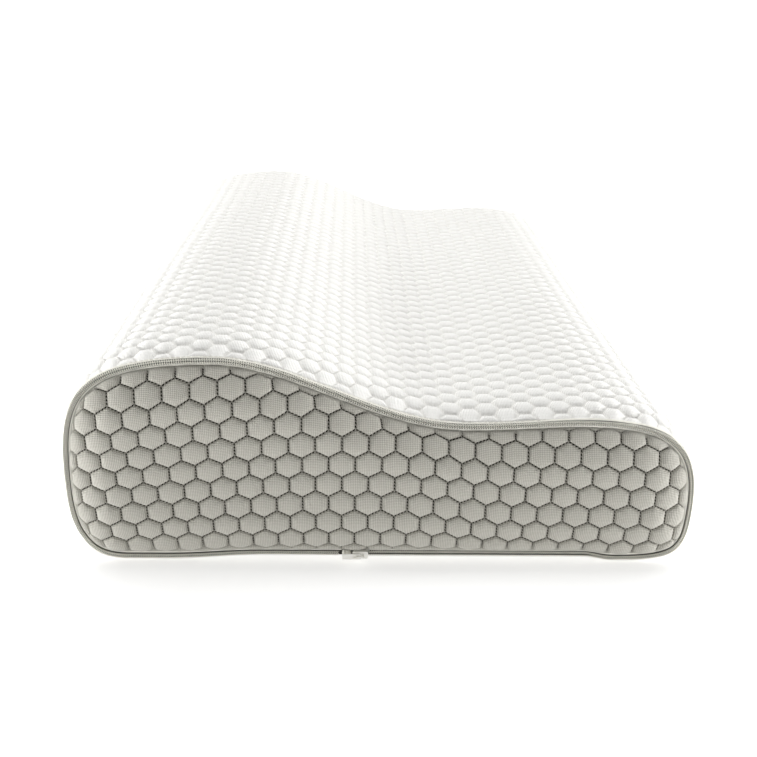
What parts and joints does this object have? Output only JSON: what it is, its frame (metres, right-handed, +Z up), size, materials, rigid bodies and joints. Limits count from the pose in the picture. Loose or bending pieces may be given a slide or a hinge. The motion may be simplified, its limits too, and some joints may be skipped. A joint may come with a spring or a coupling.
{
  "type": "contour bed pillow",
  "caption": "Contour memory-foam bed pillow with a high and a low neck roll, in a honeycomb quilted knit cover whose end panel zips off.",
  "frame": {"origin": "centre of the footprint, on the surface that the pillow lies on", "axes": "+Z up; Y along the pillow's length, with the zip-off end panel at -Y; X across it, with the high neck roll at -X and the low one at +X"},
  "size_m": [0.398, 0.6, 0.142],
  "materials": {
    "quilted_knit": "matte",
    "core_foam": "matte",
    "liner_jersey": "matte",
    "zip_tape": "matte",
    "zip_coil": "satin",
    "slider_metal": "satin"
  },
  "bodies": {
    "pillow": {"foam_core": "core_foam", "liner_sleeve": "liner_jersey", "liner_near_end": "liner_jersey", "liner_far_end": "liner_jersey", "cover_wrap": "quilted_knit", "far_end_panel": "quilted_knit", "body_zip_tape": "zip_tape", "body_zip_coil": "zip_coil", "zip_end_tack": "zip_tape"},
    "end_flap": {"near_end_panel": "quilted_knit", "panel_zip_tape": "zip_tape", "panel_zip_coil": "zip_coil"},
    "slider": {"slider_body": "slider_metal"},
    "pull": {"slider_pull": "slider_metal"}
  },
  "joints": [
    {"name": "end_flap_fold", "type": "hinge", "parent": "pillow", "child": "end_flap", "pos_m": [0, -0.3005, 0.001], "axis": [1, 0, 0], "range_deg": [0, 90]},
    {"name": "slider_travel", "type": "slide", "parent": "pillow", "child": "slider", "axis": [1, 0, 0], "range_m": [0, 0.135]},
    {"name": "pull_swing", "type": "hinge", "parent": "slider", "child": "pull", "pos_m": [-0.0135, -0.2967, 0.006], "axis": [0, 0, 1], "range_deg": [0, 180]}
  ]
}
